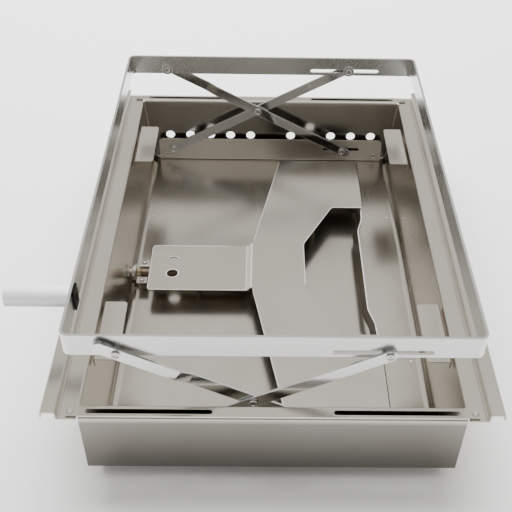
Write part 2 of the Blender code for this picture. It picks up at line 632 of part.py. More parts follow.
def make_crossover_strip(steel):
    """Thin roof-shaped strip that carries the flame from one cross arm to the other."""
    stations = [(171.6, 8), (128, 8), (105, 7), (80, 0)]
    route = [(y * MM, dx * MM) for y, dx in stations]
    route += [(-y, dx) for y, dx in reversed(route)]
    section = [(118.3 * MM, STRIP_TOP - 10 * MM), (125 * MM, STRIP_TOP - 0.6 * MM),
               (125.8 * MM, STRIP_TOP - 9 * MM)]
    shape = bmesh.new()
    rows = [[shape.verts.new((x + dx, y, z)) for x, z in section] for y, dx in route]
    for near, far in zip(rows, rows[1:]):
        for k in range(len(section) - 1):
            shape.faces.new((near[k], near[k + 1], far[k + 1], far[k]))
    mesh = bpy.data.meshes.new("crossover_strip")
    shape.to_mesh(mesh)
    shape.free()
    strip = link("crossover_strip", mesh, steel)
    thicken(strip, 1 * MM)
    return strip


def hex_piece(name, across_flats, hole, x_from, x_to, mat):
    mesh = plate_mesh(name, [hexagon(across_flats), circle(0, 0, hole)], x_to - x_from)
    middle = Matrix.Translation(((x_from + x_to) / 2, 0, GAS_AXIS))
    return link(name, mesh, mat, middle @ TURN_TO["+X"])


def make_gas_line(brass, steel, rivet_steel):
    """Inlet stub through the left wall, its nuts, the injector and the mixer tube."""
    pipe = 6.5 * MM
    holder = [(0, -186.9), (7.5, -186.9), (7.5, -190.2), (pipe / MM, -190.2), (pipe / MM, -222),
              (3.5, -222), (3.5, -200), (0, -200)]
    turned("inlet_stub", [(r * MM, x * MM) for r, x in holder], "+X", (0, 0, GAS_AXIS), brass, 24)
    hex_piece("inlet_lock_nut", 17 * MM, pipe + GAP, -201.6 * MM, -194.8 * MM, brass)
    washer = [(12, -184.4), (12, -186.4), (2.6, -186.4), (2.6, -184.4)]
    turned("injector_collar", [(r * MM, x * MM) for r, x in washer], "+X", (0, 0, GAS_AXIS), steel, 24)
    injector = [(0, -174), (1.6, -174), (3, -178), (5.8, -178.2), (5.8, -184), (2.2, -184), (2.2, -186.5),
                (0, -186.5)]
    turned("gas_injector", [(r * MM, x * MM) for r, x in injector], "+X", (0, 0, GAS_AXIS), brass, 12)
    mixer = [(8, -3.4), (8, -30), (5.6, -90), (5.6, -120), (6.5, -150), (6.5, -177.4), (5.4, -177.4),
             (5.4, -150), (4.5, -120), (4.5, -90), (6.8, -30), (6.8, -3.4)]
    turned("mixer_tube", [(r * MM, x * MM) for r, x in mixer], "+X", (0, 0, GAS_AXIS), brass, 24)
    wing, deep = GAS_AXIS + 1.5 * MM, FLOOR_TOP + 1.1 * MM
    half = [(23 * MM, wing), (10.5 * MM, wing), (10.5 * MM, deep)]
    fold = rounded(half + [(-y, z) for y, z in reversed(half)], 1.8 * MM, 3)
    saddle = folded_sheet("mixer_saddle", fold, (-182 * MM, -168 * MM), 1.2 * MM, steel, along="X")
    spots = [Matrix.Translation((-175 * MM, e * 17.5 * MM, wing)) for e in (-1, 1)]
    hole = turned_mesh("wing_hole", stepped_profile([(2.1 * MM, -3 * MM, 3 * MM)]), 12)
    combine(saddle, cutter_group("wing_hole_cut", hole, spots, steel), "DIFFERENCE")
    stages = [(1.7 * MM, -5 * MM, 0.95 * MM), (3.2 * MM, 0.95 * MM, 2.9 * MM)]
    screw = turned_mesh("saddle_screw", stepped_profile(stages), 12)
    copies(["front_saddle_screw", "rear_saddle_screw"], screw, spots, rivet_steel)


# ---------------------------------------------------------------- assembly
def main():
    global parts, cutters
    clear_scene()
    parts = new_collection("burner_assembly")
    cutters = new_collection("cutters")
    steel = material("polished_sheet", (0.62, 0.60, 0.56), 0.22, 1)
    bar = material("bright_bar", (0.70, 0.71, 0.71), 0.2, 1)
    rivet_steel = material("rivet_steel", (0.55, 0.55, 0.54), 0.3, 1)
    aluminium = material("handle_aluminium", (0.82, 0.83, 0.84), 0.25, 1)
    black = material("black_fixing", (0.02, 0.02, 0.02), 0.5, 0)
    brass = material("gas_brass", (0.60, 0.43, 0.22), 0.3, 1)
    iron = material("burner_steel", (0.30, 0.29, 0.28), 0.45, 1)

    tray = make_tray(steel)
    make_end_panel("front_end_panel", -1, FRONT_SKIRT, steel)
    make_end_panel("rear_end_panel", 1, REAR_SKIRT, steel)
    make_corner_rivets(tray, rivet_steel, steel)
    for side, side_word in ((-1, "left"), (1, "right")):
        for end, end_word in ((-1, "front"), (1, "rear")):
            make_ledge(end_word + "_" + side_word + "_pan_ledge", side, end, steel)
    make_standoff_rivets(rivet_steel)
    make_lift_frame(bar)
    for end, word in ((-1, "front"), (1, "rear")):
        make_bracket(word + "_arm_bracket", end, steel)
        make_straight_arm(word + "_straight_arm", end, bar)
        make_joggled_arm(word + "_joggled_arm", end, bar)
        linkage_pins(word, end, rivet_steel)
    make_handle(aluminium, black, rivet_steel)
    make_shield(steel)
    make_posts(steel)
    make_burner(iron)
    make_crossover_strip(steel)
    make_gas_line(brass, steel, rivet_steel)


main()
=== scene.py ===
"""Looks for the burner assembly: polished sheet steel, bright flat bar, brass gas line, in a pale studio."""
import json
import math

import bmesh
import bpy
from mathutils import Matrix, Vector

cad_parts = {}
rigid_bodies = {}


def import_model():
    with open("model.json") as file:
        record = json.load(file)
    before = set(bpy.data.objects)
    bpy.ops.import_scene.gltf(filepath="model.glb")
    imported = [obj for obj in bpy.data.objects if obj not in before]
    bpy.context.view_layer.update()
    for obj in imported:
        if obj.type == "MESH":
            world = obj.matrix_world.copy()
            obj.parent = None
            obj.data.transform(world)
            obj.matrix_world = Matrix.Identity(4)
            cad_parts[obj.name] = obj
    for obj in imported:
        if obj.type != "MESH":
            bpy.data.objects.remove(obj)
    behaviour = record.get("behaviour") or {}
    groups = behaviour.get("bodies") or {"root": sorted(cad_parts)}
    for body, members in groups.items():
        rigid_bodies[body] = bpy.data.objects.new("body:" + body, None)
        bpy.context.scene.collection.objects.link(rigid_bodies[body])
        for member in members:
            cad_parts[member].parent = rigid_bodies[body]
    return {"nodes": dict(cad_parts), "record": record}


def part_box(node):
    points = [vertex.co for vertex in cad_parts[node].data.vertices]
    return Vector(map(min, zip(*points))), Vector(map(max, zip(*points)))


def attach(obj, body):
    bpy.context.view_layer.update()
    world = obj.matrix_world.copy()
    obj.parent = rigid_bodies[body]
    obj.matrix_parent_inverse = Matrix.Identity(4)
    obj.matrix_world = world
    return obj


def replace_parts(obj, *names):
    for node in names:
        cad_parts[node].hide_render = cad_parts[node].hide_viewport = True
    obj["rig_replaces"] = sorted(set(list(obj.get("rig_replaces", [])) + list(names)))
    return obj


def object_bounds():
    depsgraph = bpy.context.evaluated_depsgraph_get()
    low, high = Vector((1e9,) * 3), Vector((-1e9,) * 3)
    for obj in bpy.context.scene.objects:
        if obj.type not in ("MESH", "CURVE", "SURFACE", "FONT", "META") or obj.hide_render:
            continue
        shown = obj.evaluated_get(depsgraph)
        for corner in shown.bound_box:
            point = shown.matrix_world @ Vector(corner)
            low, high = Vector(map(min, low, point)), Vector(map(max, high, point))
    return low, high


MM = 0.001
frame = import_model()
cad_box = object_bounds()
nodes = frame["nodes"]


# ---------------------------------------------------------------- materials
class Nodes:
    """A material's node tree, with short calls to add nodes and link them."""

    def __init__(self, name):
        self.mat = bpy.data.materials.new(name)
        self.mat.use_nodes = True
        self.tree = self.mat.node_tree
        self.shader = self.tree.nodes["Principled BSDF"]
        self.coords = self.tree.nodes.new("ShaderNodeTexCoord").outputs["Object"]

    def add(self, kind, inputs=None, **settings):
        node = self.tree.nodes.new("ShaderNode" + kind)
        for key, value in settings.items():
            setattr(node, key, value)
        for key, value in (inputs or {}).items():
            if isinstance(value, bpy.types.NodeSocket):
                self.tree.links.new(value, node.inputs[key])
            else:
                node.inputs[key].default_value = value
        return node

    def set(self, **inputs):
        for key, value in inputs.items():
            socket = self.shader.inputs[key.replace("_", " ")]
            if isinstance(value, bpy.types.NodeSocket):
                self.tree.links.new(value, socket)
            else:
                socket.default_value = value

    def noise(self, scale, detail=2, stretch=(1, 1, 1)):
        spread = self.add("Mapping", {"Vector": self.coords, "Scale": stretch})
        field = self.add("TexNoise", {"Vector": spread.outputs[0], "Scale": scale, "Detail": detail})
        return field.outputs["Fac"]

    def spread(self, value, low, high):
        """The value's middle range, mapped from 0.3..0.7 to low..high."""
        node = self.add("MapRange", {"Value": value, "From Min": 0.3, "From Max": 0.7, "To Min": low,
                                     "To Max": high})
        return node.outputs[0]

    def blend(self, factor, first, second):
        node = self.add("Mix", data_type="RGBA")
        self.tree.links.new(factor, node.inputs[0])
        node.inputs[6].default_value = (*first, 1)
        node.inputs[7].default_value = (*second, 1)
        return node.outputs[2]

    def bump(self, height, distance, normal=None):
        inputs = {"Height": height, "Distance": distance, "Strength": 1.0}
        if normal:
            inputs["Normal"] = normal
        return self.add("Bump", inputs).outputs[0]


GRAIN, GRAIN_SCALE = (1, 0.03, 1), 900              # rolling lines: stretch and fineness
WAVE, SCRATCH = 0.03 * MM, 0.0005 * MM              # depth of the uneven surface and of the lines
BEND_REACH = 4.2 * MM                               # half the width of the painted highlight on the shield's fold


def metal(name, colour, tint, roughness, metallic=1, painted_shade_below=(), axis="Z", painted_fold_highlight=None):
    """Metal with cloudy polish, rolling lines along one axis and a slightly uneven surface.

    painted_shade_below lists (upper, lower, share) of painted shade: the colour falls to that share between
    the two places on axis.
    painted_fold_highlight is the middle of a narrow fold across X that is made half non-metallic, a painted
    highlight that shows lighter instead of mirroring.
    """
    n = Nodes(name)
    cloud = n.noise(9, 4)
    streak = n.noise(GRAIN_SCALE, 2, GRAIN)
    low, high = roughness
    paint = n.blend(n.spread(cloud, 0, 1), colour, tint)
    # painted shade: the base colour is darkened between the two places on the axis
    for upper, lower, share in painted_shade_below:
        height = n.add("SeparateXYZ", {0: n.coords}).outputs[axis]
        fade = n.add("MapRange", {"Value": height, "From Min": lower, "From Max": upper, "To Min": share,
                                  "To Max": 1.0})
        paint = n.add("VectorMath", {0: paint, 1: fade.outputs[0]}, operation="MULTIPLY").outputs[0]
    # painted highlight: within the fold's band the metal is half non-metallic, so it shows lighter
    if painted_fold_highlight is not None:
        across = n.add("SeparateXYZ", {0: n.coords}).outputs["X"]
        inside = n.add("Math", {0: across, 1: painted_fold_highlight, 2: BEND_REACH}, operation="COMPARE").outputs[0]
        metallic = n.add("Math", {0: inside, 1: -0.5, 2: 1.0}, operation="MULTIPLY_ADD").outputs[0]
    n.set(Base_Color=paint, Metallic=metallic)
    worn = n.add("Math", {0: n.spread(cloud, low, high), 1: n.spread(streak, -0.02, 0.02)}, operation="ADD")
    n.set(Roughness=worn.outputs[0])
    uneven = n.bump(n.noise(7, 1), WAVE)
    n.set(Normal=n.bump(streak, SCRATCH, uneven))
    return n.mat


SHEET_COLOUR, SHEET_TINT = (0.62, 0.58, 0.515), (0.67, 0.635, 0.575)
rim_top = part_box("front_end_panel")[1].z
sheet_steel = metal("polished_sheet", SHEET_COLOUR, SHEET_TINT, (0.20, 0.26))
# painted shade: the end panels are copies of the sheet darkened from just under the rim and further down the
# skirt
skirt = (rim_top - 9 * MM, rim_top - 80 * MM)
front_panel_steel = metal("front_panel_sheet", SHEET_COLOUR, SHEET_TINT, (0.20, 0.26),
                          painted_shade_below=[(rim_top - 1 * MM, skirt[0], 0.40), (*skirt, 0.58)])
rear_panel_steel = metal("rear_panel_sheet", SHEET_COLOUR, SHEET_TINT, (0.20, 0.26),
                         painted_shade_below=[(rim_top - 1 * MM, skirt[0], 0.64), (*skirt, 0.6)])
bracket_steel = metal("bracket_sheet", (0.78, 0.73, 0.66), (0.84, 0.79, 0.72), (0.34, 0.42))
bar_steel = metal("bright_bar", (0.68, 0.69, 0.685), (0.74, 0.745, 0.74), (0.10, 0.15))
rivet_steel = metal("rivet_steel", (0.66, 0.65, 0.63), (0.75, 0.74, 0.72), (0.13, 0.22))
tube_radius = (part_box("handle_tube")[1].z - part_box("handle_tube")[0].z) / 2
# painted shade: the handle's colour darkens towards the underside of the tube
aluminium = metal("handle_aluminium", (0.93, 0.94, 0.95), (0.96, 0.96, 0.97), (0.30, 0.40), metallic=0.12,
                  painted_shade_below=[(-0.3 * tube_radius, 0.62 * tube_radius, 0.2)], axis="X")
# painted highlight along the shield's fold
shield_steel = metal("shield_sheet", SHEET_COLOUR, SHEET_TINT, (0.20, 0.26), painted_fold_highlight=-30 * MM)
frame_steel = metal("frame_bar", (0.66, 0.67, 0.665), (0.71, 0.715, 0.71), (0.24, 0.32))
# painted highlight: a pale, half-metal finish that makes rims and beads glint
painted_highlight_edge = metal("painted_highlight_edge", (0.90, 0.88, 0.84), (0.94, 0.92, 0.89), (0.25, 0.35), metallic=0.4)
# dark brown brass, darkened further as painted shade so the mixer tube reads dark under the shield
dark_brass = metal("shade_darkened_brass", (0.16, 0.11, 0.08), (0.26, 0.19, 0.14), (0.24, 0.36))
brass = metal("gas_brass", (0.50, 0.38, 0.24), (0.62, 0.52, 0.38), (0.20, 0.34))
burner_steel = metal("burner_steel", (0.20, 0.19, 0.18), (0.34, 0.31, 0.28), (0.34, 0.48))
black_steel = metal("black_fixing", (0.015, 0.015, 0.015), (0.03, 0.03, 0.03), (0.45, 0.6))
by_slot = {"polished_sheet": sheet_steel, "bright_bar": bar_steel, "rivet_steel": rivet_steel,
           "handle_aluminium": aluminium, "gas_brass": brass, "burner_steel": burner_steel,
           "black_fixing": black_steel}
own_metal = {"front_end_panel": front_panel_steel, "rear_end_panel": rear_panel_steel,
             "lift_frame": frame_steel, "burner_shield": shield_steel,
             "front_arm_bracket": bracket_steel, "rear_arm_bracket": bracket_steel}


# ---------------------------------------------------------------- carried-over nodes
BAR_EDGE, SHEET_EDGE = 0.6 * MM, 0.4 * MM


def refine(obj, width):
    """Rounds a CAD node's sharp edges a little and smooths its bends."""
    weld = obj.modifiers.new("weld", "WELD")
    weld.merge_threshold = 0.00002
    flat = obj.modifiers.new("flat", "DECIMATE")
    flat.decimate_type = "DISSOLVE"
    flat.angle_limit = math.radians(2)
    edge = obj.modifiers.new("edge", "BEVEL")
    edge.width = width
    edge.segments = 3
    edge.limit_method = "ANGLE"
    edge.angle_limit = math.radians(50)
    flatten = obj.modifiers.new("flatten", "WEIGHTED_NORMAL")
    flatten.weight = 100
    flatten.keep_sharp = True
    obj.data.shade_smooth()


def carry_over():
    """Gives every CAD node that no finer piece stands for its metal and its rounded edges."""
    stood_for = {node for obj in bpy.data.objects for node in obj.get("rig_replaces", [])}
    for row in frame["record"]["subparts"]:
        part = nodes[row["node"]]
        if row["node"] in stood_for:
            continue
        part.data.materials.clear()
        part.data.materials.append(own_metal.get(row["node"], by_slot[row["material_slot"]]))
        refine(part, BAR_EDGE if row["material_slot"] == "bright_bar" else SHEET_EDGE)


# ---------------------------------------------------------------- pieces that refine the CAD
def lathe(name, profile, axis, place, mat, body, node=None, steps=40):
    """Turned piece from (radius, height) points in mm, with its own Z along axis and its origin at place."""
    shape = bmesh.new()
    row = [shape.verts.new((r * MM, 0, z * MM)) for r, z in profile]
    edges = [shape.edges.new(pair) for pair in zip(row, row[1:])]
    bmesh.ops.spin(shape, geom=row + edges, cent=(0, 0, 0), axis=(0, 0, 1), angle=2 * math.pi, steps=steps,
                   use_merge=True)
    bmesh.ops.remove_doubles(shape, verts=shape.verts, dist=1e-6)
    bmesh.ops.recalc_face_normals(shape, faces=shape.faces)
    mesh = bpy.data.meshes.new(name)
    shape.to_mesh(mesh)
    shape.free()
    return add_piece(name, mesh, mat, body, node, Matrix.Translation(place) @ TURN_TO[axis])


TURN_TO = {"+Y": Matrix.Rotation(-math.pi / 2, 4, "X"), "-Y": Matrix.Rotation(math.pi / 2, 4, "X"),
           "+X": Matrix.Rotation(math.pi / 2, 4, "Y"), "+Z": Matrix.Identity(4)}


def add_piece(name, mesh, mat, body, node=None, matrix=None, angle=35):
    mesh.materials.clear()
    mesh.materials.append(mat)
    mesh.shade_smooth()
    mesh.set_sharp_from_angle(angle=math.radians(angle))
    obj = bpy.data.objects.new(name, mesh)
    bpy.context.scene.collection.objects.link(obj)
    if matrix:
        obj.matrix_world = matrix
    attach(obj, body)
    if node:
        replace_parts(obj, node)
    return obj


def soft_edge(radius, start, end, curve=0.35):
    """The rim of one turned step, with rounded corners."""
    curve = min(curve, (end - start) * 0.45)
    turns = [math.pi / 2 * k / 4 for k in range(5)]
    first = [(radius - curve + curve * math.sin(t), start + curve - curve * math.cos(t)) for t in turns]
    last = [(radius - curve + curve * math.cos(t), end - curve + curve * math.sin(t)) for t in turns]
    return first + last


def rolled_end(radius, face, inward):
    """Half profile of a riveted end: a bright ring, a groove and a small raised centre."""
    depths = [(0, 0.35), (0.16, 0.42), (0.26, 0.8), (0.32, 1.35), (0.58, 1.4), (0.64, 0.5), (0.70, 0.12),
              (0.78, 0)]
    return [(share * radius, face + depth * inward) for share, depth in depths]


def rivet(name, node, stages, end, x, z, body):
    """Turned pin from (radius, from, to) stages in mm outwards from the middle, with rims in a pale
    half-metal that paints a highlight on them.
    """
    first, last = stages[0], stages[-1]
    profile = rolled_end(first[0], first[1], 1)
    for radius, start, stop in stages:
        profile += soft_edge(radius, start, stop)
    profile += rolled_end(last[0], last[2], -1)[::-1]
    lathe(name, profile, "+Y" if end > 0 else "-Y", (x, 0, z), rivet_steel, body, node)
    rims = [(first[0], first[1] + 0.2), (last[0], last[2] - 0.2)]
    rims += [(WASHER, start + 0.2) for radius, start, stop in stages if radius == WASHER]
    turns = [math.pi * k / 16 for k in range(33)]
    loops = [[(x + (radius - 0.4) * MM * math.cos(t), end * y * MM, z + (radius - 0.4) * MM * math.sin(t))
              for t in turns] for radius, y in rims]
    swept(name + "_rims", loops, 0.4 * MM, painted_highlight_edge, body)


GAP, HEAD = 0.35, 1.7                                # mm: running gap, thickness of a pin's head
SHANK, PIN_HEAD, WASHER_HEAD, WASHER = 2.5, 5, 4.4, 8  # mm: radii


def linkage_rivets():
    """Hollow rivets of both scissor linkages, in place of the plain CAD pins."""
    def rear(node, corner):
        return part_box(node)[corner].y / MM

    band_out = rear("lift_frame", 1)
    band_in = band_out - 3
    inner = rear("rear_joggled_arm", 0)
    outer, outer_out = rear("rear_straight_arm", 0), rear("rear_straight_arm", 1)
    inner_out = inner + outer_out - outer
    bracket_out = rear("rear_arm_bracket", 0) + 1.5
    washer = band_in - GAP - 1.1
    tail = (PIN_HEAD, bracket_out + GAP, bracket_out + GAP + HEAD)
    cap = (PIN_HEAD, outer_out + GAP, outer_out + GAP + HEAD)
    upper = [(WASHER_HEAD, washer - HEAD, washer), (WASHER, washer, band_in - GAP),
             (SHANK, band_in - GAP, band_out + GAP), (PIN_HEAD, band_out + GAP, outer - GAP),
             (SHANK, outer - GAP, outer_out + GAP), cap]
    layers = {
        "fixed_pivot_pin": [(PIN_HEAD, outer - GAP - HEAD, outer - GAP),
                            (SHANK, outer - GAP, bracket_out + GAP), tail],
        "lower_slide_pin": [(PIN_HEAD, inner - GAP - HEAD, inner - GAP),
                            (SHANK, inner - GAP, inner_out + GAP), (PIN_HEAD, inner_out + GAP, outer_out),
                            (SHANK, outer_out, bracket_out + GAP), tail],
        "centre_rivet": [(PIN_HEAD, inner - GAP - HEAD, inner - GAP),
                         (SHANK, inner - GAP, outer_out + GAP), cap],
        "upper_slide_pin": upper,
        "lift_pivot_pin": upper}
    riders = {"fixed_pivot_pin": "tray", "lower_slide_pin": "{}_joggled_arm",
              "centre_rivet": "{}_straight_arm", "upper_slide_pin": "{}_straight_arm",
              "lift_pivot_pin": "lift_frame"}
    for end, word in ((-1, "front"), (1, "rear")):
        for kind, stages in layers.items():
            node = word + "_" + kind
            low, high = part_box(node)
            middle = (low + high) / 2
            rivet(node + "_rolled", node, stages, end, middle.x, middle.z, riders[kind].format(word))


def plain_rivets():
    """Rivets of the brackets and the corner ears, with a dished centre in each head."""
    for corner in ("front_left", "front_right", "rear_left", "rear_right"):
        node = corner + "_standoff_rivet"
        low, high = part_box(node)
        end = 1 if high.y > 0 else -1
        near, far = sorted((abs(low.y) / MM, abs(high.y) / MM))
        stages = [(4, near, near + HEAD), (2.2, near + HEAD, near + HEAD + 2.2),
                  (4.2, near + HEAD + 2.2, far - HEAD - 2.2), (2.2, far - HEAD - 2.2, far - HEAD),
                  (4, far - HEAD, far)]
        middle = (low + high) / 2
        rivet(node + "_rolled", node, stages, end, middle.x, middle.z, "tray")
        node = corner + "_corner_rivet"
        low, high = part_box(node)
        middle = (low + high) / 2
        top, bottom = high.z / MM, low.z / MM
        dome = [(0, top - 0.9), (0.9, top - 0.8), (1.3, top - 0.15), (1.8, top), (2.6, top - 0.2),
                (3.3, top - 0.8), (3.6, top - 1.7), (1.8, top - 1.7), (1.8, bottom + 2.8),
                (3.2, bottom + 2.8), (3.2, bottom + 1), (2.4, bottom + 0.2), (0, bottom)]
        lathe(node + "_domed", dome, "+Z", (middle.x, middle.y, 0), rivet_steel, "tray", node)


def hexagon(name, across, start, stop, place, mat, body, node):
    """Hexagonal nut along X with chamfered corners, from start to stop in mm."""
    shape = bmesh.new()
    corner = across / 2 / math.cos(math.pi / 6) * MM
    depth = (stop - start) * MM
    bmesh.ops.create_cone(shape, cap_ends=True, segments=6, radius1=corner, radius2=corner, depth=depth)
    ends = [e for e in shape.edges if abs(e.verts[0].co.z - e.verts[1].co.z) < 1e-9]
    bmesh.ops.bevel(shape, geom=ends, offset=0.09 * across * MM, segments=3, affect="EDGES", profile=0.6)
    mesh = bpy.data.meshes.new(name)
    shape.to_mesh(mesh)
    shape.free()
    middle = Matrix.Translation(Vector(place) + Vector(((start + stop) / 2 * MM, 0, 0)))
    return add_piece(name, mesh, mat, body, node, middle @ TURN_TO["+X"])


def handle():
    low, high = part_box("handle_tube")
    middle = (low + high) / 2
    place = (0, middle.y, middle.z)
    outside, bore = (high.z - low.z) / 2 / MM, (high.z - low.z) / 2 / MM - 1.6
    near, far = high.x / MM, low.x / MM
    tube = [(bore, near - 0.2), (bore + 0.2, near), (outside - 0.2, near), (outside, near - 0.2),
            (outside, far + 0.7), (outside - 0.25, far + 0.2), (outside - 0.8, far), (bore + 0.3, far),
            (bore, far + 0.3), (bore, near - 0.2)]
    lathe("handle_tube_turned", tube, "+X", place, aluminium, "lift_frame", "handle_tube", 64)
    bead = [(outside + 0.1, near - 1.4), (outside + 0.7, near - 1.1), (outside + 1.3, near - 0.5),
            (outside + 1.5, near), (outside - 0.5, near), (outside + 0.1, near - 1.4)]
    lathe("handle_weld_bead", bead, "+X", place, aluminium, "lift_frame", None, 64)
    low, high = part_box("handle_stud")
    stud = [(0, high.x / MM - 0.6), (1.2, high.x / MM - 0.5), (2.2, high.x / MM), (3, high.x / MM - 0.5),
            (3, low.x / MM + 0.4), (2.6, low.x / MM), (0, low.x / MM)]
    lathe("handle_stud_turned", stud, "+X", place, black_steel, "lift_frame", "handle_stud")


def gas_line():
    """Threaded inlet, injector and mixer tube on the burner's axis."""
    low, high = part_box("inlet_stub")
    axis = (0, 0, (low.z + high.z) / 2)
    tip, flange, radius = low.x / MM, high.x / MM, 6.5
    profile = [(3.5, tip + 21), (3.5, tip + 0.6), (4.1, tip), (radius - 1, tip), (radius, tip + 1)]
    pitch, turns = 1.8, 10
    for k in range(turns):
        start = tip + 1.2 + k * pitch
        profile += [(radius, start + 0.2), (radius - 0.8, start + 0.8), (radius - 0.8, start + 1),
                    (radius, start + 1.6)]
    profile += [(radius, flange - 3.2), (0, flange - 3.2)]
    profile = [(0, tip + 22)] + profile
    lathe("inlet_stub_threaded", profile, "+X", axis, brass, "tray", "inlet_stub", 48)
    hexagon("inlet_inner_nut", 15, flange - 3.3, flange, axis, rivet_steel, "tray", None)
    low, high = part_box("inlet_lock_nut")
    hexagon("inlet_lock_nut_cut", 17, low.x / MM, high.x / MM, axis, brass, "tray", "inlet_lock_nut")
    low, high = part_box("injector_collar")
    near, far = high.x / MM, low.x / MM
    collar = [(2.6, near), *[(r, h) for r, h in soft_edge(12, far, near, 0.5)[::-1]], (2.6, far), (2.6, near)]
    lathe("injector_collar_turned", collar, "+X", axis, rivet_steel, "tray", "injector_collar", 48)
    low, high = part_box("gas_injector")
    near, far = high.x / MM, low.x / MM
    hexagon("gas_injector_hexagon", 10, far + 2.6, far + 8.2, axis, brass, "tray", "gas_injector")
    nozzle = [(0, near - 1), (0.7, near - 0.8), (0.9, near), (1.6, near), (3, near - 3.6), (4.3, near - 4.2),
              (4.3, near - 5), (0, near - 5)]
    lathe("gas_injector_nozzle", nozzle, "+X", axis, brass, "tray")
    low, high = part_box("mixer_tube")
    near, far = high.x / MM, low.x / MM
    length = near - far

    def bore_at(share):
        """Radius of the mixer: a bell at the injector, a waist, then a slow flare into the burner."""
        bell = 0.9 * math.exp(-share * 14)
        flare = 2.4 * max(0.0, (share - 0.45) / 0.55) ** 1.3
        return 5.6 + bell + flare

    shares = [k / 24 for k in range(25)]
    outside = [(min(bore_at(t), 8), far + t * length) for t in shares]
    inside = [(r - 1.1, h) for r, h in reversed(outside)]
    wall = outside + inside + outside[:1]
    lathe("mixer_tube_drawn", wall, "+X", axis, dark_brass, "tray", "mixer_tube", 48)


def saddle_screws():
    """Pan-head screws with a cross recess."""
    for word in ("front", "rear"):
        node = word + "_saddle_screw"
        low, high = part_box(node)
        middle = (low + high) / 2
        top, bottom = high.z / MM, low.z / MM
        head = [(0, top), (1.4, top - 0.1), (2.6, top - 0.5), (3.2, top - 1.2), (3.2, top - 1.9),
                (1.7, top - 1.9), (1.7, bottom + 0.5), (1.2, bottom), (0, bottom)]
        screw = lathe(node + "_cross", head, "+Z", (middle.x, middle.y, 0), rivet_steel, "tray", node, 32)
        for turn in (0.3, 0.3 + math.pi / 2):
            shape = bmesh.new()
            bmesh.ops.create_cube(shape, size=1)
            bmesh.ops.scale(shape, verts=shape.verts, vec=(3.4 * MM, 0.7 * MM, 1.6 * MM))
            mesh = bpy.data.meshes.new(node + "_recess")
            shape.to_mesh(mesh)
            shape.free()
            place = Matrix.Translation((middle.x, middle.y, high.z)) @ Matrix.Rotation(turn, 4, "Z")
            cut(screw, guide(node + "_recess", mesh, place))


def guide(name, mesh, matrix):
    """A hidden object that only cuts others."""
    obj = bpy.data.objects.new(name, mesh)
    bpy.context.scene.collection.objects.link(obj)
    obj.matrix_world = matrix
    obj.hide_render = True
    obj.display_type = "WIRE"
    return obj


def cut(obj, cutter):
    step = obj.modifiers.new("cut", "BOOLEAN")
    step.operation = "DIFFERENCE"
    step.solver = "EXACT"
    step.object = cutter


def posts():
    for place in ("front_inner", "rear_inner", "front_outer", "rear_outer", "front_branch", "rear_branch"):
        node = place + "_post"
        low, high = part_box(node)
        middle = (low + high) / 2
        top, bottom = high.z / MM, low.z / MM
        turned = [(0, top), (2.6, top), (3.1, top - 0.5), (3.1, bottom + 2.4), (3.5, bottom + 1.6),
                  (3.5, bottom + 0.3), (3.2, bottom), (0, bottom)]
        lathe(node + "_turned", turned, "+Z", (middle.x, middle.y, 0), rivet_steel, "tray", node, 32)


def swept(name, path, radius, mat, body):
    """Round bead along one line of points in metres, or along each of a list of lines."""
    curve = bpy.data.curves.new(name, "CURVE")
    curve.dimensions = "3D"
    curve.bevel_depth = radius
    curve.bevel_resolution = 4
    curve.use_fill_caps = True
    for line in path if isinstance(path[0], list) else [path]:
        spline = curve.splines.new("POLY")
        spline.points.add(len(line) - 1)
        for point, place in zip(spline.points, line):
            point.co = (*place, 1)
    drawn = bpy.data.objects.new(name, curve)
    bpy.context.scene.collection.objects.link(drawn)
    mesh = bpy.data.meshes.new_from_object(drawn.evaluated_get(bpy.context.evaluated_depsgraph_get()))
    bpy.data.objects.remove(drawn, do_unlink=True)
    return add_piece(name, mesh, mat, body, angle=60)


def corner_beads():
    """Weld along the inner corner of each end wall and the tray: down one side, across, up the other."""
    low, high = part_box("tray")
    rails, lean, bend, sheet = 37.5 * MM, 10 * MM, 9 * MM, 1.5 * MM
    half = high.x - rails
    floor = low.z + sheet
    top = rim_top - 2.4 * MM
    slant = math.atan2(lean, top - floor)
    arc = [math.pi / 2 * k / 8 for k in range(9)]
    side = [(half - 0.3 * MM, top), (half - lean * 0.85 + 0.2 * MM, floor + bend * 1.3)]
    centre = (half - lean - bend + 0.6 * MM, floor + bend)
    side += [(centre[0] + bend * math.cos(a + slant * (1 - a * 2 / math.pi)), centre[1] - bend * math.sin(a))
             for a in arc]
    route = [(-x, z) for x, z in side] + side[::-1]
    for word, end in (("front", 0), ("rear", 1)):
        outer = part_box(word + "_end_panel")[end].y
        inner = outer - math.copysign(17.5 * MM, outer)
        path = [(x, inner, z) for x, z in route]
        swept(word + "_corner_bead", path, 1.3 * MM, sheet_steel, "tray")


SLIT = -134.3 * MM, 13.5 * MM


def pressed_tab():
    """Curved slit in the shield's branch beside the lighting hole, round a small half-moon flap."""
    (x, y), radius, width = SLIT, 7.5 * MM, 1.8 * MM
    angles = [math.radians(12 + 156 * k / 20) for k in range(21)]
    outer = [(x + radius * math.cos(a), y + radius * math.sin(a)) for a in angles]
    inner = [(x + (radius - width) * math.cos(a), y + (radius - width) * math.sin(a)) for a in angles]
    shape = bmesh.new()
    rings = [[shape.verts.new((px, py, branch_top() + rise)) for px, py in outer + inner[::-1]]
             for rise in (-3 * MM, 1 * MM)]
    count = len(rings[0])
    shape.faces.new(rings[1])
    shape.faces.new(rings[0][::-1])
    for k in range(count):
        after = (k + 1) % count
        shape.faces.new((rings[0][k], rings[0][after], rings[1][after], rings[1][k]))
    bmesh.ops.recalc_face_normals(shape, faces=shape.faces)
    mesh = bpy.data.meshes.new("pressed_tab")
    shape.to_mesh(mesh)
    shape.free()
    cut(nodes["burner_shield"], guide("pressed_tab", mesh, Matrix.Identity(4)))


def branch_top():
    """The branch is a sheet's fold lower than the chevron."""
    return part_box("burner_shield")[1].z - 5.5 * MM


